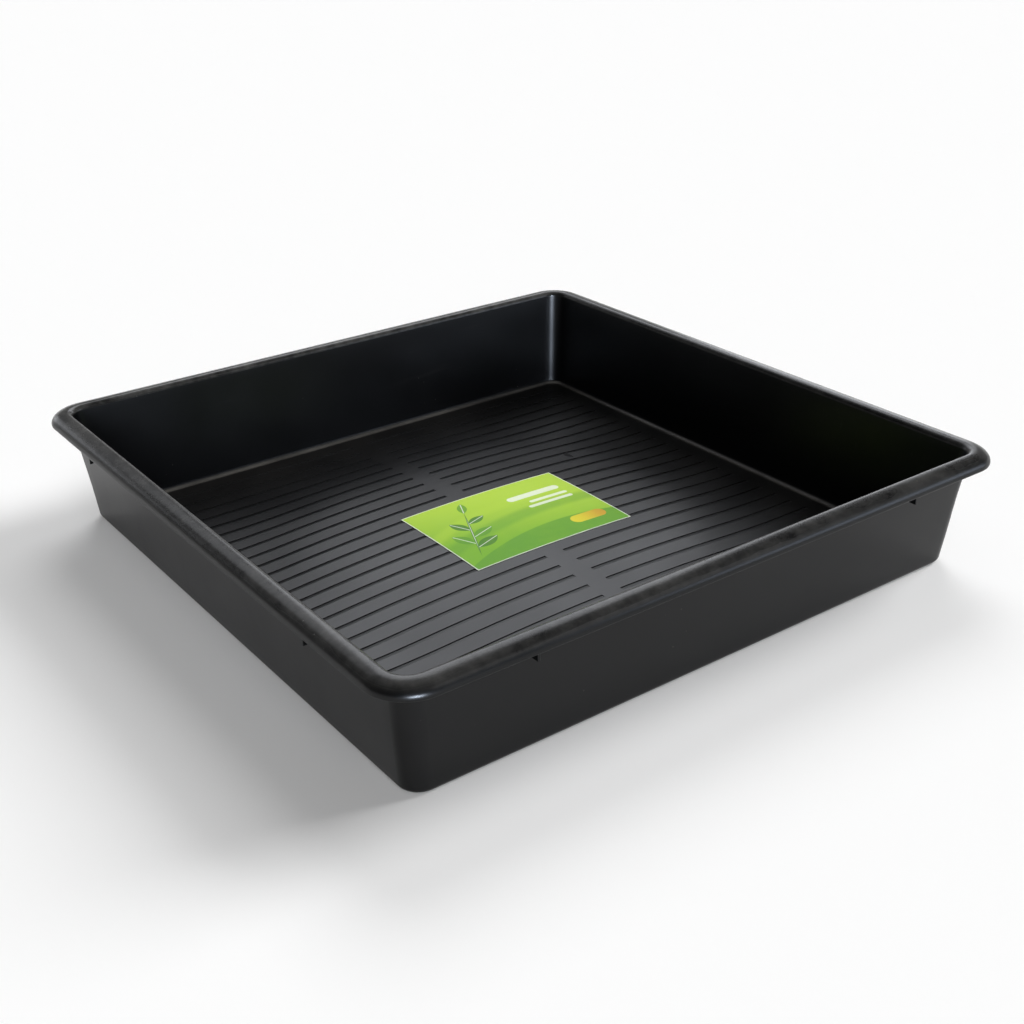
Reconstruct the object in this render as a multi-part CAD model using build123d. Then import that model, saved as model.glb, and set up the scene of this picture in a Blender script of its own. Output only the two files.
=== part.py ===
from build123d import *
import os
from math import ceil, cos, radians, sin, tan

# A square, shallow potting tray: one plastic moulding with a crowned, grooved floor, leaning walls
# and a rolled rim, and a printed sheet glued to the middle of the floor.
# Millimetres, +Z up, origin under the middle of the tray on the ground, -Y the side the label is read from.

# Overall size
rim_side = 700.0  # across the rim, square in plan
tray_height = 121.0
wall_thickness = 2.8
floor_thickness = 3.0

# Walls
wall_lean_angle = 5.9  # degrees that the walls lean outwards
wall_corner_radius = 20.4  # outer corner of the wall under the rim
base_corner_radius = 20.0  # outer corner of the wall at the ground
base_edge_radius = 6.0  # rounding between the wall and the underside
floor_edge_radius = 5.0  # rounding between the wall and the floor, inside

# Rolled rim
rim_overhang = 19.6  # from the wall's outer face to the lip's outer face
rim_inner_radius = 6.0  # rounding from the inner wall to the top of the rim
rim_roll_height = 10.2  # fall of the rounded top from its crest to the lip
lip_length = 1.8  # straight edge below the roll

# Ribs under the rim, which stop nested trays from jamming
rib_thickness = 2.5
rib_drop = 7.0  # how far a rib hangs below the lip
rib_from_side = 132.0  # from the outside of the next rim to the middle of a rib

# Crowned floor
crown_height = 13.4
rest_band = 18.4  # from the outside of the base to the edge of the crown, in the middle of a side
crown_flare = 75.0  # width of the hollow curve that eases the crown into the flat border

# Grooves in the floor
groove_pitch = 22.2
groove_width = 3.0
groove_depth = 0.7
groove_strip = 22.5  # plain strip between the two fields of grooves
groove_border = 26.0  # plain border between the groove fields and the wall

# Label
label_length = 196.0
label_width = 141.0
label_thickness = 0.25
label_clearance = 0.3  # room for the glue under the label
label_shift = 17.5  # the label sits this far towards +X

# Heights and half widths that follow from the sizes above
lean = radians(wall_lean_angle)
rim_half = rim_side / 2
wall_half = rim_half - rim_overhang
wall_top = tray_height - rim_inner_radius * (1 - sin(lean))
base_half = wall_half - wall_top * tan(lean)
roll_level = tray_height - rim_roll_height
lip_bottom = roll_level - lip_length
rib_bottom = lip_bottom - rib_drop
crest_half = wall_half - wall_thickness + rim_inner_radius * cos(lean)
floor_half = base_half - wall_thickness + floor_thickness * tan(lean)
crown_radius = base_half - rest_band
floor_reach = rim_side  # radius of a disc that covers the whole floor, corners too


def outer_half(height):
    """Half width of the wall's outer face at a height."""
    return base_half + height * tan(lean)


def outline(half, corner_radius, height):
    """Rounded square, level at a height."""
    return Pos(0, 0, height) * RectangleRounded(2 * half, 2 * half, corner_radius)


def tapered_block(low_half, low_radius, low_z, high_half, high_radius, high_z, edge_radius):
    """Solid between two rounded squares, with the lower edge rounded."""
    ends = [outline(low_half, low_radius, low_z), outline(high_half, high_radius, high_z)]
    block = loft(ends, ruled=True)
    lower_edges = block.faces().sort_by(Axis.Z)[0].edges()
    return fillet(lower_edges, edge_radius)


def on_four_sides(shape):
    """A shape on the +X side and its three copies round the tray."""
    return [Rot(0, 0, 90 * turn) * shape for turn in range(4)]


def crowned_disc(level, reach):
    """Round block whose top is flat at a level and swells to the crown in the middle."""
    slope = 2 * crown_height / crown_radius
    turn_radius = crown_radius - crown_flare
    turn_level = level + slope * crown_flare / 2
    crest = (0, level + crown_height)
    turn = (turn_radius, turn_level)
    edge = (crown_radius, level)
    foot = level - floor_thickness / 2
    convex = TangentArc(crest, turn, tangent=(1, 0))
    hollow = TangentArc(edge, turn, tangent=(-1, 0))
    border = [Line(edge, (reach, level))] if reach > crown_radius else []
    sides = Polyline((reach, level), (reach, foot), (0, foot), crest)
    section = Plane.XZ * make_face([convex, hollow, *border, sides])
    return revolve(section, Axis.Z)


def shell():
    """Floor and walls, with the floor still flat."""
    outside = tapered_block(
        base_half, base_corner_radius, 0, wall_half, wall_corner_radius, wall_top, base_edge_radius
    )
    inside = tapered_block(
        floor_half,
        base_corner_radius - wall_thickness,
        floor_thickness,
        wall_half - wall_thickness,
        wall_corner_radius - wall_thickness,
        wall_top,
        floor_edge_radius,
    )
    return outside - inside


def rim_section():
    """Section of the rolled rim, from the top of the wall over the crest to the lip."""
    lean_direction = (sin(lean), cos(lean))
    quarter = wall_lean_angle - 90
    wall_inside = (wall_half - wall_thickness, wall_top)
    wall_outside = (wall_half, wall_top)
    top_turn = JernArc(wall_inside, lean_direction, rim_inner_radius, quarter)
    under_turn = JernArc(wall_outside, lean_direction, rim_inner_radius - wall_thickness, quarter)
    hollow_crest = under_turn @ 1
    lip_inside = rim_half - wall_thickness
    top_roll = EllipticalCenterArc(
        (crest_half, roll_level), rim_half - crest_half, rim_roll_height, arc_size=90
    )
    under_roll = EllipticalCenterArc(
        (hollow_crest.X, roll_level), lip_inside - hollow_crest.X, hollow_crest.Y - roll_level, arc_size=90
    )
    lip = Polyline(
        (rim_half, roll_level),
        (rim_half, lip_bottom),
        (lip_inside, lip_bottom),
        (lip_inside, roll_level),
    )
    foot = Line(wall_outside, wall_inside)
    return Plane.XZ * make_face([top_turn, top_roll, lip, under_roll, under_turn, foot])


def rim():
    """The rolled rim, carried along four straight sides and round four corners."""
    section = rim_section()
    straight_half = wall_half - wall_corner_radius
    side = extrude(section, straight_half, both=True)
    corner_axis = Axis((straight_half, straight_half, 0), (0, 0, 1))
    corner = revolve(Pos(0, straight_half, 0) * section, corner_axis, 90)
    return on_four_sides(side) + on_four_sides(corner)


def ribs():
    """Eight upright ribs that bridge the wall and the lip, two on each side."""
    bite = wall_thickness / 2
    roll = EllipticalCenterArc(
        (crest_half, roll_level), rim_half - bite - crest_half, rim_roll_height - bite, arc_size=90
    )
    edges = Polyline(
        (crest_half, tray_height - bite),
        (wall_half - bite, wall_top),
        (outer_half(rib_bottom) - bite, rib_bottom),
        (rim_half - bite, rib_bottom),
        (rim_half - bite, roll_level),
    )
    plate = extrude(Plane.XZ * make_face([roll, edges]), rib_thickness / 2, both=True)
    rib_offset = rim_half - rib_from_side
    pair = [Pos(0, place, 0) * plate for place in (-rib_offset, rib_offset)]
    return [copy for plate_at in pair for copy in on_four_sides(plate_at)]


def grooves():
    """Cutters for the two fields of grooves, which follow the crown at one depth."""
    field_half = floor_half - groove_border
    length = field_half - groove_strip / 2
    middle = field_half - length / 2
    steps = ceil(field_half / groove_pitch) - 1
    slot = SlotOverall(length, groove_width)
    places = [
        Pos(side * middle, step * groove_pitch)
        for step in range(-steps, steps + 1)
        for side in (-1, 1)
    ]
    above_crown = floor_thickness + crown_height + groove_depth
    tall_slots = extrude(Sketch() + [place * slot for place in places], above_crown)
    return tall_slots - crowned_disc(floor_thickness - groove_depth, floor_reach)


def tray():
    """The whole moulding."""
    crown = crowned_disc(floor_thickness, crown_radius)
    hollow_below = Pos(0, 0, -floor_thickness) * crown
    body = shell() + rim() + ribs()
    body = body + crown - hollow_below
    return body - grooves()


def label():
    """The printed sheet, which follows the crown that it is glued to."""
    sheet_bottom = floor_thickness + label_clearance
    sheet_top = sheet_bottom + label_thickness
    sheet = crowned_disc(sheet_top, floor_reach) - crowned_disc(sheet_bottom, floor_reach)
    cut = Pos(label_shift, 0, 0) * extrude(Rectangle(label_length, label_width), tray_height)
    return sheet & cut


pieces = {"tray": tray(), "label": label()}

os.makedirs("parts", exist_ok=True)
for name, solid in pieces.items():
    export_step(solid, f"parts/{name}.step")
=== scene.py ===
import logging
import math
from dataclasses import dataclass
from enum import Enum
from typing import Any, Mapping, Sequence

import bmesh
import bpy
import numpy as np
from mathutils import Matrix


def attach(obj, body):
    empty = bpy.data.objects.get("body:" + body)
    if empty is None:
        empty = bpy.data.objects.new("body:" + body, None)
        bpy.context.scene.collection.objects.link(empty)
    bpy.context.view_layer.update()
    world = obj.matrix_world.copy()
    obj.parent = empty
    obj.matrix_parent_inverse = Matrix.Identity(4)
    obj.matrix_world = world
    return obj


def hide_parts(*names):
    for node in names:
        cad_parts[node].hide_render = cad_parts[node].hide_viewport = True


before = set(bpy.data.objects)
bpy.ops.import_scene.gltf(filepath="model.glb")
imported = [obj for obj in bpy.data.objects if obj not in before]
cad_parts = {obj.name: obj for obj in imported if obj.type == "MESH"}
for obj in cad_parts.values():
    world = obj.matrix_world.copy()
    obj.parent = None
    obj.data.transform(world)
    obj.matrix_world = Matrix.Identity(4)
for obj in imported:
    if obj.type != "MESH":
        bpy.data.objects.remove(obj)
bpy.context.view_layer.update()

log = logging.getLogger("potting_tray")

Array = np.ndarray
Colour = tuple[float, float, float]
Point = tuple[float, float, float]
Flat = tuple[float, float]

MM = 0.001
BODY = "root"
WELD_DISTANCE = 1e-7
SENSOR_WIDTH = 36.0
WHITE = (1.0, 1.0, 1.0, 1.0)


class Wire:
    """One output of a shader tree; arithmetic on it adds Math nodes."""

    def __init__(self, shader: "Shader", socket: bpy.types.NodeSocket) -> None:
        """Keeps the tree and the socket."""
        self.shader = shader
        self.socket = socket

    def _math(self, operation: str, *terms: "Wire | float") -> "Wire":
        """Adds one Math node over the terms."""
        return self.shader.node("ShaderNodeMath", {"operation": operation}, dict(enumerate(terms)))

    def __add__(self, other: "Wire | float") -> "Wire":
        """Sum."""
        return self._math("ADD", self, other)

    def __radd__(self, other: float) -> "Wire":
        """Sum with a number on the left."""
        return self._math("ADD", other, self)

    def __sub__(self, other: "Wire | float") -> "Wire":
        """Difference."""
        return self._math("SUBTRACT", self, other)

    def __rsub__(self, other: float) -> "Wire":
        """Difference with a number on the left."""
        return self._math("SUBTRACT", other, self)

    def __mul__(self, other: "Wire | float") -> "Wire":
        """Product."""
        return self._math("MULTIPLY", self, other)

    def __rmul__(self, other: float) -> "Wire":
        """Product with a number on the left."""
        return self._math("MULTIPLY", other, self)

    def __truediv__(self, other: "Wire | float") -> "Wire":
        """Quotient."""
        return self._math("DIVIDE", self, other)

    def __rtruediv__(self, other: float) -> "Wire":
        """Quotient with a number on the left."""
        return self._math("DIVIDE", other, self)

    def __abs__(self) -> "Wire":
        """Size without sign."""
        return self._math("ABSOLUTE", self)

    def most(self, other: "Wire | float") -> "Wire":
        """The larger of two values."""
        return self._math("MAXIMUM", self, other)

    def least(self, other: "Wire | float") -> "Wire":
        """The smaller of two values."""
        return self._math("MINIMUM", self, other)

    def split(self) -> list["Wire"]:
        """All outputs of the node that this one belongs to, in order."""
        return [Wire(self.shader, socket) for socket in self.socket.node.outputs]

    def rise(self, low: float, high: float) -> "Wire":
        """Smooth step from 0 at low to 1 at high; low may be the larger."""
        settings = {"interpolation_type": "SMOOTHSTEP"}
        return self.shader.node("ShaderNodeMapRange", settings, {0: self, 1: low, 2: high})


class Shader:
    """The node tree of a material or a world, with one method that adds any node."""

    def __init__(self, tree: bpy.types.NodeTree) -> None:
        """Takes a node tree over and empties it."""
        self.tree = tree
        tree.nodes.clear()

    def node(
        self,
        kind: str,
        settings: Mapping[str, Any] | None = None,
        inputs: Mapping[str | int, Any] | None = None,
        output: str | int = 0,
    ) -> Wire:
        """Adds a node, sets its properties, then feeds its sockets.

        Args:
            kind: Type name of the node.
            settings: Properties to set first.
            inputs: A value or a wire for each socket, by name or number.
            output: The output to hand back, by name or number.

        Returns:
            The chosen output, or an output node's own socket.
        """
        made = self.tree.nodes.new(kind)
        for name, value in (settings or {}).items():
            setattr(made, name, value)
        for name, value in (inputs or {}).items():
            if isinstance(value, Wire):
                self.tree.links.new(value.socket, made.inputs[name])
            else:
                made.inputs[name].default_value = value
        sockets = made.outputs if len(made.outputs) else made.inputs
        return Wire(self, sockets[output])

    def blend(self, factor: Wire | float, first: Any, second: Any) -> Wire:
        """Colour between two colours; a factor of 1 gives the second."""
        inputs = {0: factor, 6: self._colour(first), 7: self._colour(second)}
        return self.node("ShaderNodeMix", {"data_type": "RGBA"}, inputs, 2)

    @staticmethod
    def _colour(value: Any) -> Any:
        """A wire as it is, or a colour with its alpha."""
        return value if isinstance(value, Wire) else (*value, 1.0)

    def noise(self, place: Wire, scale: float, detail: float, roughness: float = 0.5) -> Wire:
        """Value of a fractal noise at a place."""
        inputs = {"Vector": place, "Scale": scale, "Detail": detail, "Roughness": roughness}
        return self.node("ShaderNodeTexNoise", {"noise_dimensions": "3D"}, inputs)

    def stretched(self, place: Wire, turn: float, scale: Point) -> Wire:
        """A place turned about Z and stretched along each axis."""
        inputs = {"Vector": place, "Rotation": (0.0, 0.0, turn), "Scale": scale}
        return self.node("ShaderNodeMapping", {"vector_type": "POINT"}, inputs)

    def axes(self, place: Wire) -> list[Wire]:
        """The three parts of a place."""
        return self.node("ShaderNodeSeparateXYZ", None, {0: place}).split()

    def mark(self, name: str) -> Wire:
        """Value of a piece's own attribute."""
        return self.node("ShaderNodeAttribute", {"attribute_name": name}, output="Fac")

    def bump(self, height: Wire, depth: float, strength: float, below: Wire | None = None) -> Wire:
        """Normal of a relief, laid over another relief where one is given."""
        inputs = {"Height": height, "Distance": depth, "Strength": strength}
        return self.node("ShaderNodeBump", None, inputs if below is None else inputs | {"Normal": below})

    def close(self, colour: Wire, roughness: Wire, ior: float, normal: Wire) -> None:
        """Ends a material's tree with one surface.

        Args:
            colour: Base colour.
            roughness: Roughness of the surface.
            ior: Index of refraction, the same all over.
            normal: Normal of the relief.
        """
        inputs = {"Base Color": colour, "Roughness": roughness, "IOR": ior, "Normal": normal}
        surface = self.node("ShaderNodeBsdfPrincipled", None, inputs)
        self.node("ShaderNodeOutputMaterial", None, {"Surface": surface})


def new_material(name: str) -> tuple[bpy.types.Material, Shader]:
    """Makes an empty material.

    Args:
        name: Name of the material.

    Returns:
        The material and the shader that fills its tree.
    """
    material = bpy.data.materials.new(name)
    material.use_nodes = True
    return material, Shader(material.node_tree)


def smooth_step(low: float, high: float, value: Array) -> Array:
    """Smooth rise from 0 at low to 1 at high: 3t^2 - 2t^3 of the share t of the way."""
    share = np.clip((value - low) / (high - low), 0.0, 1.0)
    return share * share * (3.0 - 2.0 * share)


def arc(centre: Flat, radii: Flat, first: float, last: float, count: int) -> Array:
    """Points on part of an ellipse: centre plus radii times cosine and sine of an even run of angles.

    Args:
        centre: Centre, across and up.
        radii: Half axes, across and up.
        first: First angle in degrees.
        last: Last angle in degrees.
        count: Number of points.

    Returns:
        An array of count rows, across and up.
    """
    turn = np.radians(np.linspace(first, last, count))
    return np.stack([centre[0] + radii[0] * np.cos(turn), centre[1] + radii[1] * np.sin(turn)], axis=1)


def straight(first: Flat, last: Flat, count: int) -> Array:
    """Points evenly spaced from one point to another, both included."""
    return np.linspace(np.array(first), np.array(last), count)


def lap_faces(rows: int, lap: int, start: int) -> Array:
    """Four-cornered faces of a sheet of closed rows, facing out of a section walked outwards.

    Args:
        rows: Number of rows.
        lap: Points in a row.
        start: Number of the first point.

    Returns:
        Point numbers, four to a face.
    """
    grid = start + np.arange(rows * lap).reshape(rows, lap)
    after = np.roll(grid, -1, axis=1)
    corners = [grid[:-1], grid[1:], after[1:], after[:-1]]
    return np.stack(corners, axis=-1).reshape(-1, 4)


def sheet_faces(rows: int, columns: int, start: int) -> Array:
    """Four-cornered faces of an open grid, facing up where columns run along +X and rows along +Y.

    Args:
        rows: Number of rows.
        columns: Number of columns.
        start: Number of the first point.

    Returns:
        Point numbers, four to a face.
    """
    grid = start + np.arange(rows * columns).reshape(rows, columns)
    corners = [grid[:-1, :-1], grid[:-1, 1:], grid[1:, 1:], grid[1:, :-1]]
    return np.stack(corners, axis=-1).reshape(-1, 4)


def border_of(rows: int, columns: int, start: int) -> Array:
    """Point numbers round an open grid's border, anticlockwise from its lowest right corner."""
    grid = start + np.arange(rows * columns).reshape(rows, columns)
    return np.concatenate([grid[:-1, -1], grid[-1, :0:-1], grid[:0:-1, 0], grid[0, :-1]])


def zip_loops(points: Array, inner: Array, outer: Array) -> Array:
    """Triangles between two closed loops round the origin: each step follows the loop behind in angle.

    Args:
        points: All points.
        inner: Point numbers of the inner loop, anticlockwise.
        outer: Point numbers of the outer loop, anticlockwise.

    Returns:
        Point numbers, three to a face, facing up.
    """

    def angles(loop: Array) -> Array:
        """Angle of each point of a loop, growing by one full turn, with the first point again at the end."""
        place = points[np.append(loop, loop[0])]
        return np.unwrap(np.arctan2(place[:, 1], place[:, 0]))

    inner_angle, outer_angle = angles(inner), angles(outer)
    across = np.searchsorted(outer_angle[1:], inner_angle[1:], side="left")
    back = np.searchsorted(inner_angle[1:], outer_angle[1:], side="right")
    inner_next, outer_next = np.roll(inner, -1), np.roll(outer, -1)
    inner_faces = np.stack([inner, outer[across % len(outer)], inner_next], axis=1)
    outer_faces = np.stack([outer, outer_next, inner[back % len(inner)]], axis=1)
    return np.concatenate([inner_faces, outer_faces])


def make_piece(
    name: str,
    points: Array,
    faces: Sequence[Array],
    marks: Mapping[str, Array],
    sharp_angle: float,
) -> bpy.types.Object:
    """Puts points and faces into a mesh object at the origin, welds its seams and shades it smooth.

    Args:
        name: Name of the piece.
        points: Places in metres, one row to a point.
        faces: Arrays of point numbers, one row to a face.
        marks: Values for each point, kept as attributes by name.
        sharp_angle: Angle in degrees past which an edge stays crisp.

    Returns:
        The new object, linked to the scene.
    """
    mesh = bpy.data.meshes.new(name)
    mesh.from_pydata(points.tolist(), [], [face for group in faces for face in group.tolist()])
    for mark, values in marks.items():
        layer = mesh.attributes.new(mark, "FLOAT", "POINT")
        layer.data.foreach_set("value", values.astype(np.float32))
    weld = bmesh.new()
    weld.from_mesh(mesh)
    bmesh.ops.remove_doubles(weld, verts=weld.verts, dist=WELD_DISTANCE)
    weld.to_mesh(mesh)
    weld.free()
    mesh.polygons.foreach_set("use_smooth", np.ones(len(mesh.polygons), dtype=bool))
    mesh.set_sharp_from_angle(angle=math.radians(sharp_angle))
    mesh.validate()
    mesh.update()
    piece = bpy.data.objects.new(name, mesh)
    bpy.context.scene.collection.objects.link(piece)
    return piece


@dataclass(frozen=True)
class SatinPlastic:
    """Black moulded plastic: fine satin grain, faint flow marks, rubbed edges with a painted sheen on the
    back rim, and a little dust with painted highlights along the inner roundings and corners. Metres.
    """

    colour: Colour = (0.001, 0.001, 0.0013)
    # grey of real wear on the rim, and of a painted sheen on the back rim
    rubbed_and_sheen_colour: Colour = (0.086, 0.085, 0.082)
    # grey of dust, and of the painted highlights along the inner roundings and corners
    dust_and_highlight_colour: Colour = (0.12, 0.115, 0.106)
    ior: float = 1.33
    roughness: float = 0.33
    roughness_spread: float = 0.1
    rim_polish: float = 0.13
    nook_roughness: float = 0.1
    mottle_scale: float = 13.0
    cloud_scale: float = 3.1
    patch_scale: float = 75.0
    grain_scale: float = 1500.0
    grain_depth: float = 0.00002
    wave_scale: float = 26.0
    wave_depth: float = 0.0004
    wave_strength: float = 0.25
    scuff_ways: tuple[tuple[float, Point], ...] = ((0.4, (9.0, 230.0, 60.0)), (1.9, (12.0, 260.0, 70.0)))
    scuff_dust: float = 0.03
    scuff_roughness: float = 0.03
    speck_scale: float = 95.0
    speck_dust: float = 0.8
    speck_roughness: float = 0.3
    dent_place: Flat = (0.169, 0.104)
    dent_reach: float = 0.011
    dent_girth: float = 0.0042
    dent_bow: float = 0.002
    dent_edge: float = 0.0012
    dent_roughness: float = 0.5

    def material(self) -> bpy.types.Material:
        """Fills the material: dust and painted highlights over rubbed plastic with a painted sheen, duller
        where it is marked, with grain on faint waves.

        Returns:
            The finished material.
        """
        material, shader = new_material("satin_black_plastic")
        place = shader.node("ShaderNodeTexCoord", output="Object")
        rub_and_sheen, nook = shader.mark("rub_and_sheen"), shader.mark("nook")
        mottle = shader.noise(place, self.mottle_scale, 4.0, 0.55)
        cloud = shader.noise(place, self.cloud_scale, 2.0)
        scuffs = self.scuffs(shader, place, cloud)
        specks = self.specks(shader, place, mottle)
        dent = self.dent(shader, place)
        # nook carries real dust, and a painted highlight along the inner rounding, strongest in the corners.
        nook_share = nook * (mottle.rise(0.25, 0.7) * 0.5 + 0.3)
        dust_and_highlight_sum = nook_share + specks * self.speck_dust + scuffs * self.scuff_dust
        dust_and_highlight = dust_and_highlight_sum.least(1.0) * (1.0 - dent)
        patchy = shader.noise(place, self.patch_scale, 5.0, 0.65)
        # The rubbed grey is real wear on the rim, and on the back rim also a painted sheen.
        worn_and_sheen = rub_and_sheen * (mottle.rise(0.36, 0.68) * 0.45 + patchy.rise(0.3, 0.75) * 0.6 + 0.1)
        bare = shader.blend(worn_and_sheen, self.colour, self.rubbed_and_sheen_colour)
        colour = shader.blend(dust_and_highlight, bare, self.dust_and_highlight_colour)
        spread = (mottle - 0.5) * self.roughness_spread + (cloud - 0.5) * self.roughness_spread
        dull = scuffs * self.scuff_roughness + specks * self.speck_roughness
        dull = dull + nook * self.nook_roughness + dent * self.dent_roughness
        roughness = spread + self.roughness - rub_and_sheen * self.rim_polish + dull
        wave = shader.noise(place, self.wave_scale, 1.0)
        waves = shader.bump(wave, self.wave_depth, self.wave_strength)
        grain = shader.noise(place, self.grain_scale, 2.0)
        shader.close(colour, roughness, self.ior, shader.bump(grain, self.grain_depth, 1.0, waves))
        return material

    def dent(self, shader: Shader, place: Wire) -> Wire:
        """One short, bowed, dull mark on the floor: its width falls off with the square of the way along.

        Args:
            shader: Tree to add to.
            place: Object coordinates.

        Returns:
            0 beside the mark, 1 on it.
        """
        x, y, _ = shader.axes(place)
        along = (y - self.dent_place[1]) / self.dent_reach
        aside = abs(x - self.dent_place[0] - along * along * self.dent_bow)
        return ((1.0 - along * along) * self.dent_girth - aside).rise(0.0, self.dent_edge)

    def scuffs(self, shader: Shader, place: Wire, cloud: Wire) -> Wire:
        """Thin rubbing marks in two directions: the crests of stretched noise, in patches.

        Args:
            shader: Tree to add to.
            place: Object coordinates.
            cloud: Slow noise that picks the patches.

        Returns:
            0 where there is no mark, up to 1 on one.
        """
        drawn = [shader.stretched(place, turn, stretch) for turn, stretch in self.scuff_ways]
        along, across = (shader.noise(way, 1.0, 2.0) for way in drawn)
        marks = along.rise(0.66, 0.74) + across.rise(0.68, 0.75)
        return (marks * cloud.rise(0.5, 0.66)).least(1.0)

    def specks(self, shader: Shader, place: Wire, mottle: Wire) -> Wire:
        """Specks of dust: small round cells, kept only where a mottled noise is high.

        Args:
            shader: Tree to add to.
            place: Object coordinates.
            mottle: Noise that thins the specks out.

        Returns:
            0 on clean plastic, up to 1 on a speck.
        """
        inputs = {"Vector": place, "Scale": self.speck_scale, "Randomness": 1.0}
        cells = shader.node("ShaderNodeTexVoronoi", {"feature": "F1"}, inputs)
        return cells.rise(0.075, 0.04) * mottle.rise(0.56, 0.62)


class Ink(Enum):
    """Inks of the print, and the bare paper."""

    LIME = (0.155, 0.375, 0.003)
    PALE = (0.4, 0.6, 0.03)
    GREEN = (0.09, 0.28, 0.007)
    DEEP = (0.035, 0.16, 0.008)
    YELLOW = (0.66, 0.57, 0.01)
    AMBER = (0.52, 0.29, 0.005)
    PAPER = (0.84, 0.88, 0.78)


@dataclass(frozen=True)
class Leaf:
    """A plain printed leaf. Millimetres from the middle of the sheet, and its direction in radians."""

    middle: Flat
    turn: float
    length: float
    width: float
    ink: Ink

    def masks(self, across: Wire, up: Wire) -> tuple[Wire, Wire]:
        """Within half the width times one minus the square of the share of half the length, with a midrib.

        Args:
            across: Millimetres from the middle of the sheet, to the reader's right.
            up: Millimetres from the middle of the sheet, away from the reader.

        Returns:
            Masks of the blade and of the midrib.
        """
        right, ahead = across - self.middle[0], up - self.middle[1]
        along = right * math.cos(self.turn) + ahead * math.sin(self.turn)
        aside = abs(ahead * math.cos(self.turn) - right * math.sin(self.turn))
        share = along / (self.length * 0.5)
        bow = (1.0 - share * share) * (self.width * 0.5)
        blade = (bow - aside).rise(-0.35, 0.35)
        rib = aside.rise(0.75, 0.25) * (bow - aside).rise(0.4, 1.2)
        return blade, rib


@dataclass(frozen=True)
class Bar:
    """A printed bar with round ends. Millimetres from the middle of the sheet; reach and girth are halves."""

    middle: Flat
    reach: float
    girth: float

    def mask(self, across: Wire, up: Wire) -> Wire:
        """Within the girth of a line that is as long as the reach allows.

        Args:
            across: Millimetres from the middle of the sheet, to the reader's right.
            up: Millimetres from the middle of the sheet, away from the reader.

        Returns:
            The bar's mask.
        """
        over = (abs(across - self.middle[0]) - (self.reach - self.girth)).most(0.0)
        ahead = up - self.middle[1]
        far = over * over + ahead * ahead
        return far.rise((self.girth + 0.4) ** 2, (self.girth - 0.4) ** 2)


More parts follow.
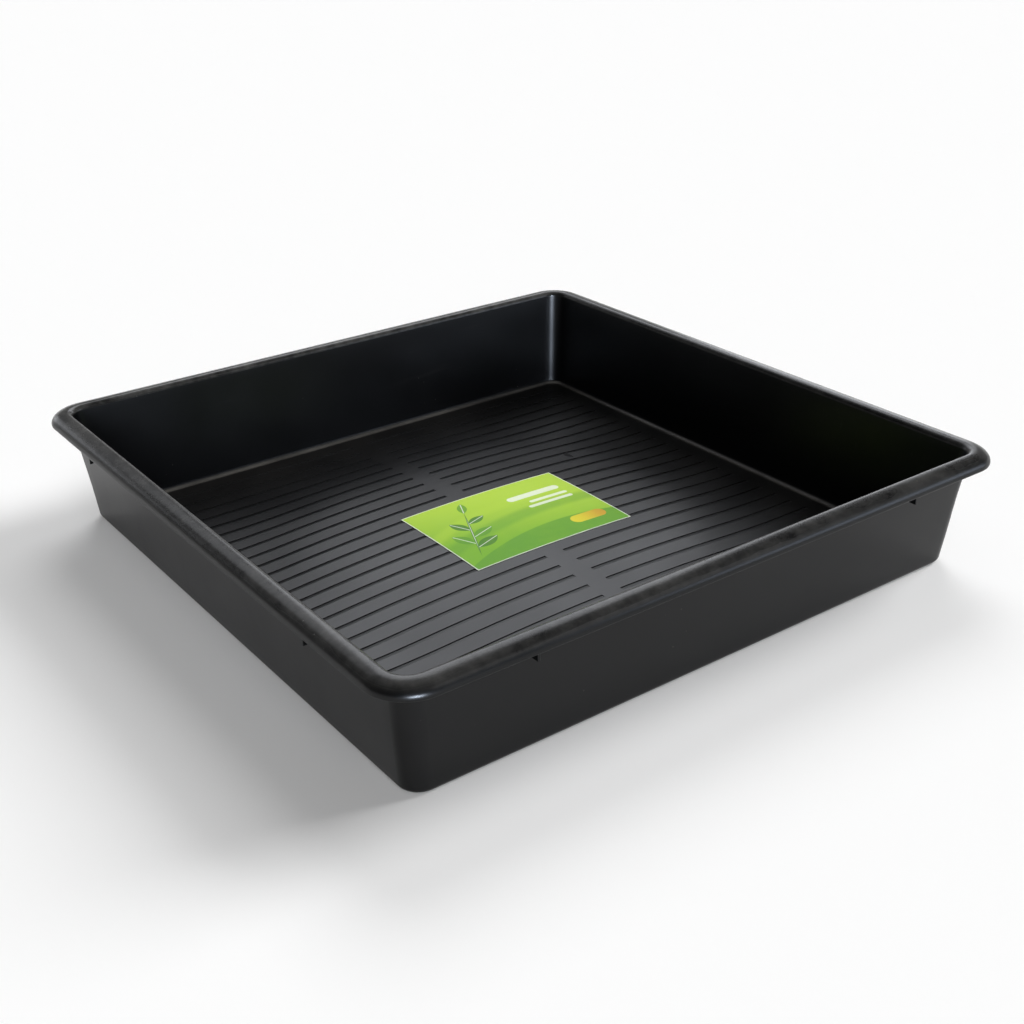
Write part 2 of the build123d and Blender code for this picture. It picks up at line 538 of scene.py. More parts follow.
@dataclass(frozen=True)
class PrintedPaper:
    """Satin paper printed in limes and greens: soft bands, a sprig of plain leaves, bars and a warm patch."""

    ior: float = 1.3
    roughness: float = 0.55
    fibre_scale: float = 900.0
    fibre_depth: float = 0.00002
    blotch_scale: float = 40.0
    leaves: tuple[Leaf, ...] = (
        Leaf((-59.0, -5.0), 1.155, 96.0, 2.6, Ink.DEEP),
        Leaf((-56.3, -28.5), 0.31, 32.0, 15.0, Ink.DEEP),
        Leaf((-74.4, -12.3), 1.99, 30.0, 14.0, Ink.GREEN),
        Leaf((-48.3, -8.6), 0.31, 30.0, 14.0, Ink.GREEN),
        Leaf((-61.7, 13.7), 1.99, 27.0, 12.5, Ink.DEEP),
        Leaf((-38.6, 18.1), 0.31, 25.0, 11.5, Ink.DEEP),
        Leaf((-35.1, 49.0), 1.155, 24.0, 10.5, Ink.GREEN),
    )
    bars: tuple[Bar, ...] = (
        Bar((48.0, 34.0), 34.0, 5.0),
        Bar((57.0, 18.0), 25.0, 2.6),
        Bar((53.0, 8.0), 29.0, 2.6),
    )
    patch: Bar = Bar((62.0, -44.0), 22.0, 8.0)

    def material(self, length: float, width: float) -> bpy.types.Material:
        """Fills the material: the print, faded in blotches, on fibrous paper.

        Args:
            length: Length of the sheet in metres.
            width: Width of the sheet in metres.

        Returns:
            The finished material.
        """
        material, shader = new_material("printed_paper")
        sheet = shader.node("ShaderNodeUVMap", {"uv_map": "print"})
        u, v, _ = shader.axes(sheet)
        across = (u - 0.5) * (length / MM)
        up = (v - 0.5) * (width / MM)
        place = shader.node("ShaderNodeTexCoord", output="Object")
        drawing = self.drawing(shader, across, up, length / MM, width / MM)
        fibre = shader.noise(place, self.fibre_scale, 3.0)
        blotch = shader.noise(place, self.blotch_scale, 3.0)
        faded = shader.blend(blotch.rise(0.4, 0.75) * 0.08, drawing, Ink.PALE.value)
        inked = shader.blend(fibre.rise(0.55, 0.8) * 0.03, faded, Ink.PAPER.value)
        roughness = self.roughness + (blotch - 0.5) * 0.12 + (fibre - 0.5) * 0.08
        shader.close(inked, roughness, self.ior, shader.bump(fibre, self.fibre_depth, 0.6))
        return material

    def drawing(self, shader: Shader, across: Wire, up: Wire, length: float, width: float) -> Wire:
        """The print: a ground that pales upwards, three curved bands, the sprig, bars, a patch and the edge.

        Args:
            shader: Tree to add to.
            across: Millimetres from the middle, to the reader's right.
            up: Millimetres from the middle, away from the reader.
            length: Length of the sheet in millimetres.
            width: Width of the sheet in millimetres.

        Returns:
            The colour of the print.
        """
        slope = (across * 0.35 + up) / width
        colour = shader.blend(slope.rise(-0.55, 0.5), Ink.LIME.value, Ink.PALE.value)
        swell = abs(up - 30.0 + across * across * 0.0028)
        colour = shader.blend(swell.rise(13.0, 2.0) * 0.45, colour, Ink.PALE.value)
        dip = abs(up + 2.0 - across * 0.12 + across * across * 0.0012)
        colour = shader.blend(dip.rise(15.0, 4.0) * 0.5, colour, Ink.GREEN.value)
        hill = (up + 34.0 + across * across * 0.0019 - across * 0.1).rise(1.0, -1.0)
        colour = shader.blend(hill * 0.85, colour, Ink.GREEN.value)
        for leaf in self.leaves:
            blade, rib = leaf.masks(across, up)
            colour = shader.blend(blade * 0.9, colour, leaf.ink.value)
            colour = shader.blend(rib * 0.7, colour, Ink.PAPER.value)
        for bar in self.bars:
            colour = shader.blend(bar.mask(across, up) * 0.75, colour, Ink.PAPER.value)
        warmth = (across - self.patch.middle[0]).rise(-18.0, 22.0)
        warm = shader.blend(warmth, Ink.YELLOW.value, Ink.AMBER.value)
        colour = shader.blend(self.patch.mask(across, up), colour, warm)
        edge = (abs(across) - length / 2).most(abs(up) - width / 2)
        return shader.blend(edge.rise(-1.3, -0.8) * 0.8, colour, Ink.PAPER.value)


class Side(Enum):
    """The four sides, by quarter turns from +X."""

    RIGHT = 0
    BACK = 1
    LEFT = 2
    FRONT = 3

    def turn(self, points: Array) -> Array:
        """Points of the +X side turned about Z to this side.

        Args:
            points: Places on the +X side.

        Returns:
            The same places on this side.
        """
        angle = self.value * math.pi / 2
        sine, cosine = math.sin(angle), math.cos(angle)
        return points @ np.array([[cosine, -sine, 0], [sine, cosine, 0], [0, 0, 1]]).T


@dataclass
class Tray:
    """The one-piece moulding: crowned and grooved floor, leaning walls, rolled rim and ribs. Metres."""

    rim_side: float = 0.7
    height: float = 0.121
    wall: float = 0.0028
    floor: float = 0.003
    lean: float = math.radians(5.9)
    wall_corner: float = 0.0204
    base_corner: float = 0.02
    base_edge: float = 0.006
    floor_edge: float = 0.005
    overhang: float = 0.0196
    turn_radius: float = 0.006
    roll_height: float = 0.0102
    lip_length: float = 0.0018
    lip_rounding: float = 0.0011
    rib_thickness: float = 0.0025
    rib_drop: float = 0.007
    rib_from_side: float = 0.132
    rib_rounding: float = 0.0003
    crown_height: float = 0.0134
    rest_band: float = 0.0184
    crown_flare: float = 0.075
    groove_pitch: float = 0.0222
    groove_near: float = 0.003
    groove_back: float = 0.0019
    groove_wall: float = 0.00015
    groove_depth: float = 0.00075
    groove_strip: float = 0.0225
    groove_border: float = 0.026
    floor_dust: float = 0.025
    border_dust: float = 0.1
    # painted glint: up to 1.9 times the dust grey at the foot of each inner corner
    painted_corner_glint: float = 0.9
    # share of the rubbed grey off the back rim; the back rim's full share is a painted sheen over real wear
    side_wear_and_sheen: float = 0.55
    wall_wave: float = 0.00025
    wave_levels: tuple[float, float, float, float] = (0.008, 0.045, 0.07, 0.105)
    wave_run: Point = (7.3, 5.1, 31.0)
    least_corner: float = 0.002
    grid_margin: float = 0.0015
    ring_gap: float = 0.003
    dust_start: float = 0.2
    sharp_angle: float = 35.0
    side_steps: int = 48
    corner_steps: int = 14
    crown_rings: int = 30

    def __post_init__(self) -> None:
        """Works out the half widths and levels that follow from the sizes."""
        self.rim_half = self.rim_side / 2
        self.wall_half = self.rim_half - self.overhang
        self.wall_top = self.height - self.turn_radius * (1 - math.sin(self.lean))
        self.base_half = self.wall_half - self.wall_top * math.tan(self.lean)
        self.roll_level = self.height - self.roll_height
        self.lip_bottom = self.roll_level - self.lip_length
        self.floor_half = self.base_half - self.wall + self.floor * math.tan(self.lean)
        self.crown_radius = self.base_half - self.rest_band
        self.field_half = self.floor_half - self.groove_border
        self.grid_half = self.crown_radius + self.grid_margin
        self.ring_half = self.grid_half + self.ring_gap
        self.groove_steps = math.ceil(self.field_half / self.groove_pitch) - 1
        self.crest_half = self.wall_half - self.wall + self.turn_radius * math.cos(self.lean)
        edge_level = self.floor + self.floor_edge
        self.edge_half = self.inner_half(edge_level) - self.floor_edge / math.cos(self.lean)

    def crown(self, radius: Array) -> Array:
        """Rise of the floor: a sphere's cap in the middle, eased into the flat border by a hollow arc.

        Args:
            radius: Distance from the middle of the tray.

        Returns:
            Rise above the border, never below 0.
        """
        slope = 2 * self.crown_height / self.crown_radius
        turn = self.crown_radius - self.crown_flare
        turn_rise = slope * self.crown_flare / 2
        drop = self.crown_height - turn_rise
        cap_radius = (turn**2 + drop**2) / (2 * drop)
        flare_radius = (self.crown_flare**2 + turn_rise**2) / (2 * turn_rise)
        cap = self.crown_height - cap_radius + np.sqrt(cap_radius**2 - np.minimum(radius, turn) ** 2)
        inward = np.clip(self.crown_radius - radius, 0.0, self.crown_flare)
        flare = flare_radius - np.sqrt(flare_radius**2 - inward**2)
        return np.where(radius < turn, cap, flare)

    def groove(self, x: Array, y: Array) -> Array:
        """Depth of the grooves: an even fall from the near edge to an upright back wall, with upright ends.

        Args:
            x: Places along X.
            y: Places along Y.

        Returns:
            Depth below the crowned floor.
        """
        row = np.clip(np.round(y / self.groove_pitch), -self.groove_steps, self.groove_steps)
        aside = y - row * self.groove_pitch
        fall = (aside + self.groove_near) / (self.groove_near + self.groove_back)
        back = (self.groove_back + self.groove_wall - aside) / self.groove_wall
        across = np.abs(x)
        end = np.minimum(across - self.groove_strip / 2, self.field_half - across) / self.groove_wall
        return self.groove_depth * np.clip(np.minimum(np.minimum(fall, back), end), 0.0, 1.0)

    def floor_level(self, x: Array, y: Array) -> Array:
        """Height of the floor with its crown, without the grooves."""
        return self.floor + self.crown(np.hypot(x, y))

    def groove_lines(self) -> tuple[Array, Array]:
        """Grid lines of the floor, close together across each groove and at its ends.

        Returns:
            Lines along X and along Y, each in order.
        """
        rows = np.arange(-self.groove_steps, self.groove_steps + 1) * self.groove_pitch
        tight = np.array([-0.1, 0.0, 0.1]) * MM
        wall = np.array([0.0, self.groove_wall])
        land = np.array([-11.1, -8.0, -5.0, -1.2, 0.4, 5.0, 8.0, 11.1]) * MM
        across = np.concatenate([tight - self.groove_near, self.groove_back + wall, land])
        lines_y = (rows[:, None] + across[None, :]).ravel()
        ends = np.append(wall, [1 * MM, 5 * MM])
        gap_end = self.groove_strip / 2 + ends
        border_end = self.field_half - ends
        between = np.linspace(gap_end[-1], border_end[-1], 20)
        half_x = np.concatenate([[0.0, 0.5 * gap_end[0]], gap_end, between, border_end])
        lines_x = np.concatenate([-half_x, half_x])
        return self.within_grid(lines_x), self.within_grid(lines_y)

    def within_grid(self, lines: Array) -> Array:
        """Lines in order and without doubles, cut off at the grid's border, which is added."""
        kept = lines[np.abs(lines) < self.grid_half - 0.5 * MM]
        return np.unique(np.round(np.append(kept, [-self.grid_half, self.grid_half]), 7))

    def lap(self) -> tuple[Array, Array]:
        """One lap round the tray: a unit square through the corner centres, and the way outwards.

        Returns:
            For each point of the lap, its place on the square and its outward direction.
        """
        along = np.linspace(-1.0, 1.0, self.side_steps + 1)
        side = np.stack([np.ones_like(along), along], axis=1)
        side_out = np.tile([1.0, 0.0], (len(along), 1))
        turn = np.linspace(0.0, math.pi / 2, self.corner_steps + 1)[1:-1]
        corner_out = np.stack([np.cos(turn), np.sin(turn)], axis=1)
        quarter = np.concatenate([side, np.ones_like(corner_out)])
        quarter_out = np.concatenate([side_out, corner_out])
        spins = np.array([[[1, 0], [0, 1]], [[0, -1], [1, 0]], [[-1, 0], [0, -1]], [[0, 1], [-1, 0]]])
        square = np.einsum("kij,nj->kni", spins, quarter).reshape(-1, 2)
        outward = np.einsum("kij,nj->kni", spins, quarter_out).reshape(-1, 2)
        return square, outward

    def inner_half(self, level: Array) -> Array:
        """Half width of the wall's inner face at a level."""
        return self.floor_half + (level - self.floor) * math.tan(self.lean)

    def outer_half(self, level: Array) -> Array:
        """Half width of the wall's outer face at a level."""
        return self.base_half + level * math.tan(self.lean)

    def inside_run(self) -> tuple[Array, Array]:
        """Section from the floor's border round the floor edge and up the inner wall.

        Returns:
            Half width and level of each point, and the corner radius there.
        """
        lean_degrees = math.degrees(self.lean)
        edge_level = self.floor + self.floor_edge
        rounding = (self.floor_edge, self.floor_edge)
        edge = arc((self.edge_half, edge_level), rounding, -90, -lean_degrees, 14)
        border = straight((self.ring_half, self.floor), tuple(edge[0]), 4)
        wall = straight(tuple(edge[-1]), (self.wall_half - self.wall, self.wall_top), 16)
        run = np.concatenate([border[:-1], edge, wall[1:]])
        share = (run[:, 1] - self.floor) / (self.wall_top - self.floor)
        corner = self.base_corner - self.wall + share * (self.wall_corner - self.base_corner)
        return run, corner - (self.inner_half(run[:, 1]) - run[:, 0])

    def rim_run(self) -> tuple[Array, Array]:
        """Section of the rim: inner turn, elliptic roll, rounded lip and the hollow below, back to the wall.

        Returns:
            Half width and level of each point, and the corner radius there.
        """
        lean_degrees = math.degrees(self.lean)
        centre = (self.crest_half, self.wall_top - self.turn_radius * math.sin(self.lean))
        under = self.turn_radius - self.wall
        lip_inside = self.rim_half - self.wall
        under_half = self.wall_half + under * math.cos(self.lean)
        under_centre = (under_half, self.wall_top - under * math.sin(self.lean))
        under_crest = under_centre[1] + under
        rounding = (self.lip_rounding, self.lip_rounding)
        lip_level = self.lip_bottom + self.lip_rounding
        roll = (self.rim_half - self.crest_half, self.roll_height)
        hollow = (lip_inside - under_half, under_crest - self.roll_level)
        parts = [
            arc(centre, (self.turn_radius, self.turn_radius), 180 - lean_degrees, 90, 12)[1:],
            arc((self.crest_half, self.roll_level), roll, 90, 0, 22)[1:],
            arc((self.rim_half - self.lip_rounding, lip_level), rounding, 0, -90, 6),
            arc((lip_inside + self.lip_rounding, lip_level), rounding, -90, -180, 6),
            arc((under_half, self.roll_level), hollow, 0, 90, 14),
            arc(under_centre, (under, under), 90, 180 - lean_degrees, 7)[1:],
        ]
        run = np.concatenate(parts)
        return run, self.wall_corner + (run[:, 0] - self.wall_half)

    def outside_run(self) -> tuple[Array, Array]:
        """Section from the top of the outer wall down and round the base edge to the underside.

        Returns:
            Half width and level of each point, and the corner radius there.
        """
        lean_degrees = math.degrees(self.lean)
        edge_half = self.outer_half(self.base_edge) - self.base_edge / math.cos(self.lean)
        rounding = (self.base_edge, self.base_edge)
        edge = arc((edge_half, self.base_edge), rounding, -lean_degrees, -90, 12)
        wall = straight((self.wall_half, self.wall_top), tuple(edge[0]), 16)
        border = straight(tuple(edge[-1]), (self.ring_half, 0.0), 3)
        run = np.concatenate([wall[1:], edge[1:], border[1:]])
        share = run[:, 1] / self.wall_top
        corner = self.base_corner + share * (self.wall_corner - self.base_corner)
        return run, corner - (self.outer_half(run[:, 1]) - run[:, 0])

    def walls(self) -> tuple[Array, Array, Array]:
        """The section carried round the lap: the unit square times the half width less the corner radius,
        plus the corner radius along the outward way. Between rim and base the walls wave by a fraction of a
        millimetre: the sum of two sines of a run along the lap and up the wall.

        Returns:
            Points by section row and lap, how far each is rubbed with a painted sheen on the back rim, and
            its share of dust with a painted highlight along the inner rounding.
        """
        runs = [self.inside_run(), self.rim_run(), self.outside_run()]
        section = np.concatenate([run for run, _ in runs])
        corner = np.maximum(np.concatenate([radius for _, radius in runs]), self.least_corner)
        square, outward = self.lap()
        reach = (section[:, 0] - corner)[:, None, None]
        flat = reach * square[None] + corner[:, None, None] * outward[None]
        level = np.broadcast_to(section[:, 1][:, None], flat.shape[:2])
        low, full, easing, high = self.wave_levels
        body = smooth_step(low, full, level) * (1.0 - smooth_step(easing, high, level))
        run = square[None, :, 0] * self.wave_run[0] + square[None, :, 1] * self.wave_run[1]
        run = run + level * self.wave_run[2]
        wave = self.wall_wave * body * (np.sin(run) + 0.6 * np.sin(2.3 * run + 1.0))
        points = np.concatenate([flat + wave[..., None] * outward[None], level[..., None]], axis=2)
        rim = smooth_step(self.roll_level + 1 * MM, self.height - 0.5 * MM, section[:, 1])
        rub_and_sheen = np.where(section[:, 0] > self.wall_half - self.wall, rim, 0.0)
        # Dust on the floor's rounding, with a painted highlight line along it.
        dust_and_highlight = np.where(np.arange(len(section)) < len(runs[0][0]), self.folded(section), 0.0)
        # Dust share raised up to 1.9 times in the four inner corners: a painted glint at the foot of each
        # corner.
        painted_corner_glint = 1.0 + self.painted_corner_glint * 2.0 * np.abs(outward[:, 0] * outward[:, 1])
        # Rubbed grey at full strength on the back rim and 0.55 of it on the front: a painted sheen on the
        # back rim over real wear.
        side_wear_and_sheen = self.side_wear_and_sheen + (1.0 - self.side_wear_and_sheen) * np.maximum(outward[:, 1], 0.0)
        return points, rub_and_sheen[:, None] * side_wear_and_sheen[None, :], dust_and_highlight[:, None] * painted_corner_glint[None, :]

    def underside(self) -> Array:
        """Circles from the crown's edge to a point in the middle, at the crown's rise above the ground.

        Returns:
            Points by circle and lap.
        """
        square, _ = self.lap()
        way = square / np.linalg.norm(square, axis=1)[:, None]
        radius = np.linspace(self.crown_radius, 0.0, self.crown_rings)
        flat = radius[:, None, None] * way[None]
        level = np.broadcast_to(self.crown(radius)[:, None], flat.shape[:2])
        return np.concatenate([flat, level[..., None]], axis=2)

    def floor_sheet(self) -> Array:
        """The floor on its grid lines: crowned level less the depth of the grooves."""
        x, y = np.meshgrid(*self.groove_lines())
        return np.stack([x, y, self.floor_level(x, y) - self.groove(x, y)], axis=2)

    def rib_outline(self) -> Array:
        """Outline of a rib on the +X side: hidden in the wall and the rim, square below the lip.

        Returns:
            Points across and up.
        """
        bite = self.wall / 2
        bottom = self.lip_bottom - self.rib_drop
        radii = (self.rim_half - bite - self.crest_half, self.roll_height - bite)
        roll = arc((self.crest_half, self.roll_level), radii, 0, 90, 10)
        wall = (self.wall_half - bite, self.wall_top)
        foot = (self.outer_half(bottom) - bite, bottom)
        back = np.array([wall, foot, (self.rim_half - bite, bottom)])
        return np.concatenate([roll, back])

    def ribs(self) -> tuple[Array, list[Array]]:
        """Eight ribs: the outline at four stations across the thickness, drawn in a little at both faces.

        Returns:
            Points of all ribs, and their faces.
        """
        outline = self.rib_outline()
        middle = outline.mean(axis=0)
        half = self.rib_thickness / 2
        station = np.array([-half, -half + self.rib_rounding, half - self.rib_rounding, half])
        drawn = np.array([1.0, 0.0, 0.0, 1.0]) * self.rib_rounding
        inward = (middle - outline) / np.linalg.norm(middle - outline, axis=1)[:, None]
        rows = outline[None] + drawn[:, None, None] * inward[None]
        count = len(outline)
        aside = np.broadcast_to(station[:, None], (4, count))
        rib = np.stack([rows[..., 0], aside, rows[..., 1]], axis=2)
        offset = self.rim_half - self.rib_from_side
        places = [(spin, shift) for spin in Side for shift in (-offset, offset)]
        flat = rib.reshape(-1, 3)
        points = [spin.turn(flat + np.array([0.0, shift, 0.0])) for spin, shift in places]
        side = lap_faces(4, count, 0)[:, ::-1]
        near = np.arange(count)
        far = near + 3 * count
        faces = [
            group + 4 * count * number
            for number in range(len(places))
            for group in (side, near[None, :], far[None, ::-1])
        ]
        return np.concatenate(points), faces

    def build(self) -> bpy.types.Object:
        """Joins floor, walls, underside and ribs into one mesh.

        Returns:
            The tray.
        """
        floor = self.floor_sheet()
        walls, rub_and_sheen, dust_and_highlight = self.walls()
        bottom = self.underside()
        rib_points, rib_faces = self.ribs()
        rows, columns = floor.shape[:2]
        lap = walls.shape[1]
        rings = np.concatenate([walls, bottom])
        ring_start = rows * columns
        rib_start = ring_start + len(rings) * lap
        points = np.concatenate([floor.reshape(-1, 3), rings.reshape(-1, 3), rib_points])
        border = border_of(rows, columns, 0)
        faces = [
            sheet_faces(rows, columns, 0),
            zip_loops(points, border, ring_start + np.arange(lap)),
            lap_faces(len(rings), lap, ring_start),
            *[group + rib_start for group in rib_faces],
        ]
        nook, rubbed_and_sheen = np.zeros((2, len(points)))
        nook[:ring_start] = self.nook_share(floor).ravel()
        on_walls = slice(ring_start, ring_start + walls.shape[0] * lap)
        nook[on_walls], rubbed_and_sheen[on_walls] = dust_and_highlight.ravel(), rub_and_sheen.ravel()
        return make_piece("tray_moulding", points, faces, {"nook": nook, "rub_and_sheen": rubbed_and_sheen}, self.sharp_angle)

    def nook_share(self, floor: Array) -> Array:
        """Share of dust on the floor: a trace all over, rising smoothly towards the border."""
        border = smooth_step(self.dust_start, self.grid_half, np.abs(floor[..., :2]).max(axis=2))
        return self.floor_dust + (self.border_dust - self.floor_dust) * border

    def folded(self, section: Array) -> Array:
        """Dust and a painted highlight round the inside: a smooth rise across the floor's border times a
        smooth fall up the rounding.

        Args:
            section: Half width and level of each point.

        Returns:
            Share of dust and painted highlight at each point, thick from just before the rounding to half way
            up it.
        """
        half, level = section.T
        lift = (level - self.floor) / self.floor_edge
        fold = smooth_step(self.edge_half - 2.5 * MM, self.edge_half + 1 * MM, half)
        return np.maximum(fold, self.border_dust) * (1.0 - smooth_step(0.15, 0.55, lift))

    def dress(self, piece: bpy.types.Object, finish: SatinPlastic) -> None:
        """Gives the tray its finish and its place in the frame.

        Args:
            piece: The tray.
            finish: Its plastic.
        """
        piece.data.materials.append(finish.material())
        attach(piece, BODY)
        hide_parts("tray")


@dataclass
class Label:
    """The printed sheet on the floor. Metres."""

    tray: Tray
    length: float = 0.196
    width: float = 0.141
    thickness: float = 0.00025
    clearance: float = 0.0003
    shift: float = 0.0175
    sag: float = 0.08
    foot_share: float = 0.1
    sharp_angle: float = 40.0
    steps_along: int = 98
    steps_across: int = 141

    def build(self) -> bpy.types.Object:
        """A sheet on the crowned floor that sags a little over the grooves, with its edge down to the floor.

        Returns:
            The label, with a UV map that spans the sheet.
        """
        along, across = np.linspace(0, 1, self.steps_along + 1), np.linspace(0, 1, self.steps_across + 1)
        u, v = np.meshgrid(along, across)
        x = self.shift + (u - 0.5) * self.length
        y = (v - 0.5) * self.width
        floor = self.tray.floor_level(x, y)
        bed = floor - self.sag * self.tray.groove(x, y)
        top = np.stack([x, y, bed + self.clearance + self.thickness], axis=2)
        bottom = np.stack([x, y, floor + self.foot_share * self.clearance], axis=2)
        rows, columns = u.shape
        count = rows * columns
        upper, lower = border_of(rows, columns, 0), border_of(rows, columns, count)
        rim = np.stack([upper, lower, np.roll(lower, -1), np.roll(upper, -1)], axis=1)
        faces = [sheet_faces(rows, columns, 0), sheet_faces(rows, columns, count)[:, ::-1], rim]
        points = np.concatenate([top.reshape(-1, 3), bottom.reshape(-1, 3)])
        piece = make_piece("label_sheet", points, faces, {}, self.sharp_angle)
        self.unwrap(piece.data)
        return piece

    def unwrap(self, mesh: bpy.types.Mesh) -> None:
        """Maps the sheet flat: u along its length and v across, both from 0 to 1.

        Args:
            mesh: Mesh of the label.
        """
        place = np.empty(len(mesh.vertices) * 3)
        mesh.vertices.foreach_get("co", place)
        corner = np.empty(len(mesh.loops), dtype=np.int32)
        mesh.loops.foreach_get("vertex_index", corner)
        flat = place.reshape(-1, 3)[corner]
        u = (flat[:, 0] - self.shift) / self.length + 0.5
        v = flat[:, 1] / self.width + 0.5
        layer = mesh.uv_layers.new(name="print")
        layer.data.foreach_set("uv", np.stack([u, v], axis=1).ravel())

    def dress(self, piece: bpy.types.Object, finish: PrintedPaper) -> None:
        """Gives the label its print and its place in the frame.

        Args:
            piece: The label.
            finish: Its printed paper.
        """
        piece.data.materials.append(finish.material(self.length, self.width))
        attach(piece, BODY)
        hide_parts("label")


class Ray(Enum):
    """Kinds of ray that see the white background."""

    CAMERA = "Is Camera Ray"
    GLOSSY = "Is Glossy Ray"
    TRANSMISSION = "Is Transmission Ray"


class Reach(Enum):
    """What sees a lamp, matt surfaces and reflections in turn: reflections alone, or matt surfaces alone."""

    GLINT = (False, True)
    MATT = (True, False)


class Tint(Enum):
    """Colours of the soft boxes."""

    WHITE = (1.0, 1.0, 1.0)
    COOL = (0.92, 0.945, 1.0)
    BLUE = (0.74, 0.84, 1.0)


@dataclass(frozen=True)
class SoftBox:
    """A soft rectangular lamp round the tray, which the satin plastic mirrors. Degrees, metres and watts."""

    name: str
    azimuth: float
    elevation: float
    size: Flat
    power: float
    tint: Tint = Tint.COOL
    distance: float = 2.8
    target: Point = (0.0, 0.0, 0.05)

    def build(self) -> None:
        """Hangs the lamp at its place, facing its target."""
        light = bpy.data.lights.new(self.name, "AREA")
        light.shape = "RECTANGLE"
        light.size, light.size_y = self.size
        light.energy = self.power
        light.color = self.tint.value
        place = around(self.azimuth, self.elevation, self.distance)
        back = np.array(place) - np.array(self.target)
        hang(light, Matrix.Translation(place) @ facing(back), Reach.GLINT)


@dataclass(frozen=True)
class EvenLight:
    """A soft light from so far off that it is even over the whole ground, for matt surfaces. Degrees."""

    name: str
    azimuth: float
    elevation: float
    strength: float
    spread: float = 30.0

    def build(self) -> None:
        """Points the light at the tray from its direction."""
        light = bpy.data.lights.new(self.name, "SUN")
        light.energy = self.strength
        light.angle = math.radians(self.spread)
        hang(light, facing(np.array(around(self.azimuth, self.elevation, 1.0))), Reach.MATT)


def hang(light: bpy.types.Light, pose: Matrix, reach: Reach) -> None:
    """Puts a light into the scene.

    Args:
        light: The light.
        pose: Its place and turn.
        reach: What it is seen by.
    """
    lamp = bpy.data.objects.new(light.name, light)
    bpy.context.scene.collection.objects.link(lamp)
    lamp.matrix_world = pose
    lamp.visible_diffuse, lamp.visible_glossy = reach.value


def around(azimuth: float, elevation: float, distance: float) -> Point:
    """A place round the tray: distance times the cosines and sines of the two angles.

    Args:
        azimuth: Degrees from +X towards +Y.
        elevation: Degrees above the ground.
        distance: Metres from the origin.

    Returns:
        The place.
    """
    turn, lift = math.radians(azimuth), math.radians(elevation)
    level = distance * math.cos(lift)
    return level * math.cos(turn), level * math.sin(turn), distance * math.sin(lift)


def facing(back: Array) -> Matrix:
    """Turn that points an object's -Z away from a direction, with its Y as upright as it can be.

    Args:
        back: Direction of the object's +Z.

    Returns:
        A rotation as a 4 by 4 matrix.
    """
    z = back / np.linalg.norm(back)
    hint = np.array([0.0, 1.0, 0.0]) if abs(z[2]) > 0.99 else np.array([0.0, 0.0, 1.0])
    x = np.cross(hint, z)
    x = x / np.linalg.norm(x)
    turn = np.eye(4)
    turn[:3, :3] = np.stack([x, np.cross(z, x), z], axis=1)
    return Matrix(turn.tolist())


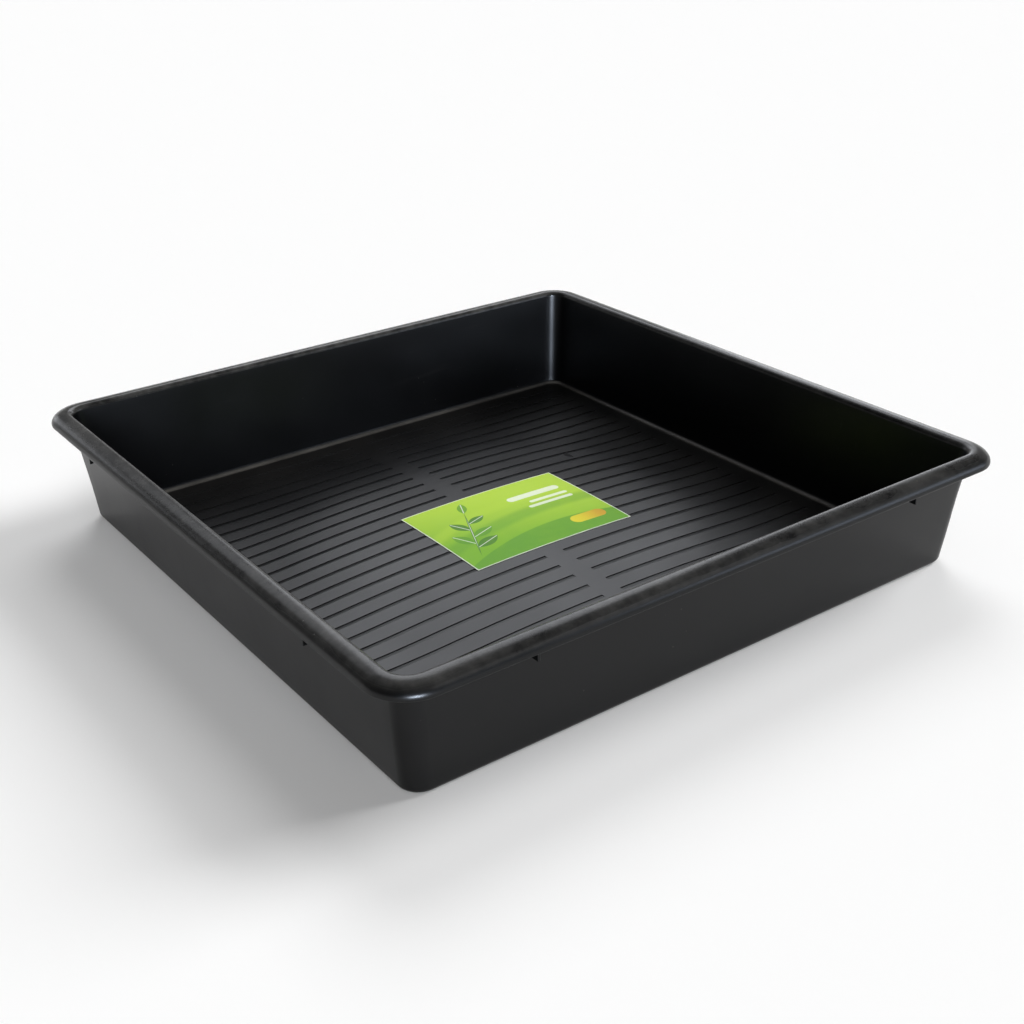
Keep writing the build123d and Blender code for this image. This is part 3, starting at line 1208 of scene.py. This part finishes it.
@dataclass(frozen=True)
class Studio:
    """White ground, a dim sky over a low white backdrop, soft lamps, and the camera. Degrees and metres."""

    azimuth: float = -36.02585
    elevation: float = 26.2193
    roll: float = -1.01467
    camera_place: Point = (-0.763168, -1.066625, 0.672098)
    focal_share: float = 1405.785 / 1024
    ground_half: float = 14.0
    ground_level: float = -0.0002
    ground_lines: int = 9
    ground_colour: Colour = (0.95, 0.95, 0.95)
    ground_glow: float = 0.17
    sky_low: float = 0.24
    sky_top: float = 0.256
    sky_way: Flat = (0.22, 0.97)
    backdrop_top: float = 0.15
    backdrop_blur: float = 0.02
    lamps: tuple[SoftBox | EvenLight, ...] = (
        SoftBox("far_softbox", 54.0, 43.0, (1.6, 1.5), 28.0, distance=2.6),
        SoftBox("far_right_glint", 31.0, 17.0, (0.9, 0.9), 7.0),
        SoftBox("front_glint", 248.5, 10.5, (0.9, 0.34), 155.0, Tint.BLUE),
        SoftBox("right_low_glint", 316.0, 17.0, (1.4, 0.8), 16.0, Tint.BLUE),
        SoftBox("right_glint", 308.0, 40.0, (1.6, 1.1), 8.0, Tint.WHITE),
        SoftBox("left_glint", 106.0, 16.0, (0.8, 0.8), 5.0),
        SoftBox("left_high_glint", 92.0, 40.0, (1.0, 0.8), 4.0),
        EvenLight("even_right", 352.0, 32.0, 2.9),
        EvenLight("even_front", 245.0, 48.0, 0.5),
        EvenLight("even_far", 52.0, 42.0, 1.4),
    )

    def build(self) -> None:
        """Sets up the ground, the sky, the lamps and the camera."""
        self.ground()
        self.sky()
        for lamp in self.lamps:
            lamp.build()
        self.camera()

    def ground(self) -> None:
        """A level ground on a grid, white to the camera, with the tray's shadow kept in it."""
        line = np.linspace(-self.ground_half, self.ground_half, self.ground_lines)
        x, y = np.meshgrid(line, line)
        points = np.stack([x, y, np.full_like(x, self.ground_level)], axis=2).reshape(-1, 3)
        faces = sheet_faces(self.ground_lines, self.ground_lines, 0)
        piece = make_piece("studio_ground", points, [faces], {}, 30.0)
        material, shader = new_material("white_ground")
        seen = self.seen(shader) * self.ground_glow
        diffuse = shader.node("ShaderNodeBsdfDiffuse", None, {"Color": (*self.ground_colour, 1.0)})
        white = shader.node("ShaderNodeEmission", None, {"Color": WHITE, "Strength": 1.0})
        mixed = shader.node("ShaderNodeMixShader", None, {0: seen, 1: diffuse, 2: white})
        shader.node("ShaderNodeOutputMaterial", None, {"Surface": mixed})
        piece.data.materials.append(material)

    @staticmethod
    def seen(shader: Shader) -> Wire:
        """1 for each kind of ray that sees the background, 0 for the light that it gives."""
        camera, glossy, through = (shader.node("ShaderNodeLightPath", output=ray.value) for ray in Ray)
        return camera.most(glossy).most(through)

    def sky(self) -> None:
        """Dim light from overhead and from low on the far side, above a low white backdrop all round."""
        world = bpy.data.worlds.new("dim_room")
        bpy.context.scene.world = world
        world.use_nodes = True
        shader = Shader(world.node_tree)
        way = shader.node("ShaderNodeTexCoord", output="Generated")
        x, y, z = shader.axes(way)
        side = (x * self.sky_way[0] + y * self.sky_way[1]).rise(0.2, 0.9)
        strength = z.rise(0.8, 0.4) * side * self.sky_low + z.rise(0.6, 0.95) * self.sky_top
        band = z.rise(self.backdrop_top + self.backdrop_blur, self.backdrop_top - self.backdrop_blur)
        backdrop = band * self.seen(shader)
        strength = strength * (1.0 - backdrop) + backdrop
        background = shader.node("ShaderNodeBackground", None, {"Color": WHITE, "Strength": strength})
        shader.node("ShaderNodeOutputWorld", None, {"Surface": background})

    def camera(self) -> None:
        """The camera at the photograph's angle: turned by azimuth, elevation and roll, at its place."""
        turn, lift, roll = np.radians([self.azimuth, self.elevation, self.roll])
        level = math.cos(lift)
        back = np.array([math.sin(turn) * level, -math.cos(turn) * level, math.sin(lift)])
        right = np.array([math.cos(turn), math.sin(turn), 0.0])
        up = np.cross(back, right)
        pose = np.eye(4)
        pose[:3, 0] = math.cos(roll) * right + math.sin(roll) * up
        pose[:3, 1] = -math.sin(roll) * right + math.cos(roll) * up
        pose[:3, 2] = back
        pose[:3, 3] = self.camera_place
        data = bpy.data.cameras.new("photo_camera")
        data.sensor_width = SENSOR_WIDTH
        data.lens = SENSOR_WIDTH * self.focal_share
        data.clip_end = 100.0
        camera = bpy.data.objects.new("photo_camera", data)
        bpy.context.scene.collection.objects.link(camera)
        camera.matrix_world = Matrix(pose.tolist())
        bpy.context.scene.camera = camera


def main() -> None:
    """Builds the tray, the label and the studio in order."""
    logging.basicConfig(level=logging.INFO)
    bpy.context.scene.view_settings.view_transform = "Standard"
    tray = Tray()
    moulding = tray.build()
    tray.dress(moulding, SatinPlastic())
    log.info("%s: %d faces", moulding.name, len(moulding.data.polygons))
    label = Label(tray)
    sheet = label.build()
    label.dress(sheet, PrintedPaper())
    log.info("%s: %d faces", sheet.name, len(sheet.data.polygons))
    Studio().build()
    log.info("studio and camera set")


if __name__ == "__main__":
    main()
